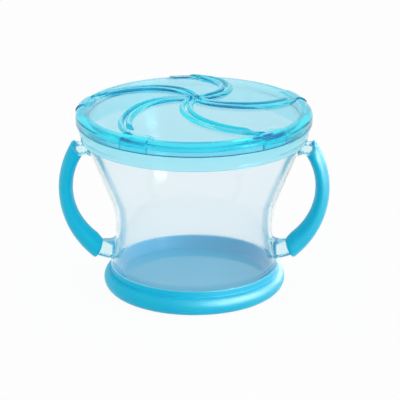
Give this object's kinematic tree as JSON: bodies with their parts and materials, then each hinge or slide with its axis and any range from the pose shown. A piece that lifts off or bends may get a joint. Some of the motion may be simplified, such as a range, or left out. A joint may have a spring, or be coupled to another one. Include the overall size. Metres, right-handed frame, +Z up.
{
  "type": "toddler snack container",
  "caption": "Clear waisted bowl with two soft-grip handles, a soft foot and a lift-off lid whose soft top is cut into curved flaps.",
  "frame": {"origin": "centre of the foot's underside, on the surface that the container stands on", "axes": "+Z up along the bowl's axis, +X through the two handles, +Y towards the back"},
  "size_m": [0.112, 0.0975, 0.0819],
  "materials": {
    "clear_pp": "clear injection-moulded polypropylene, gloss",
    "blue_tpe": "soft cyan thermoplastic elastomer, satin, slightly translucent",
    "blue_pp": "translucent pale blue polypropylene, gloss",
    "blue_tpe_clear": "translucent cyan thermoplastic elastomer, gloss"
  },
  "bodies": {
    "container": {"bowl": "clear_pp", "foot_base": "blue_tpe", "left_grip": "blue_tpe", "right_grip": "blue_tpe"},
    "lid": {"lid_ring": "blue_pp", "flap_margin": "blue_tpe_clear"},
    "flap_1": {"flap_1": "blue_tpe_clear"},
    "flap_2": {"flap_2": "blue_tpe_clear"},
    "flap_3": {"flap_3": "blue_tpe_clear"},
    "flap_4": {"flap_4": "blue_tpe_clear"},
    "flap_5": {"flap_5": "blue_tpe_clear"}
  },
  "joints": [
    {"name": "lid_lift", "type": "slide", "parent": "container", "child": "lid", "axis": [0, 0, 1], "range_m": [0, 0.04]},
    {"name": "flap_1_bend", "type": "hinge", "parent": "lid", "child": "flap_1", "pos_m": [-0.0327, -0.0032, 0.07802], "axis": [-0.2745, 0.9614, -0.021], "range_deg": [-15, 70], "stiffness_Nm_per_rad": 0.02},
    {"name": "flap_2_bend", "type": "hinge", "parent": "lid", "child": "flap_2", "pos_m": [-0.00706, -0.03209, 0.07802], "axis": [-0.9991, 0.036, -0.021], "range_deg": [-15, 70], "stiffness_Nm_per_rad": 0.02},
    {"name": "flap_3_bend", "type": "hinge", "parent": "lid", "child": "flap_3", "pos_m": [0.02834, -0.01663, 0.07802], "axis": [-0.343, -0.9391, -0.021], "range_deg": [-15, 70], "stiffness_Nm_per_rad": 0.02},
    {"name": "flap_4_bend", "type": "hinge", "parent": "lid", "child": "flap_4", "pos_m": [0.02457, 0.02181, 0.07802], "axis": [0.7871, -0.6164, -0.021], "range_deg": [-15, 70], "stiffness_Nm_per_rad": 0.02},
    {"name": "flap_5_bend", "type": "hinge", "parent": "lid", "child": "flap_5", "pos_m": [-0.01315, 0.03011, 0.07802], "axis": [0.8295, 0.5581, -0.021], "range_deg": [-15, 70], "stiffness_Nm_per_rad": 0.02}
  ]
}
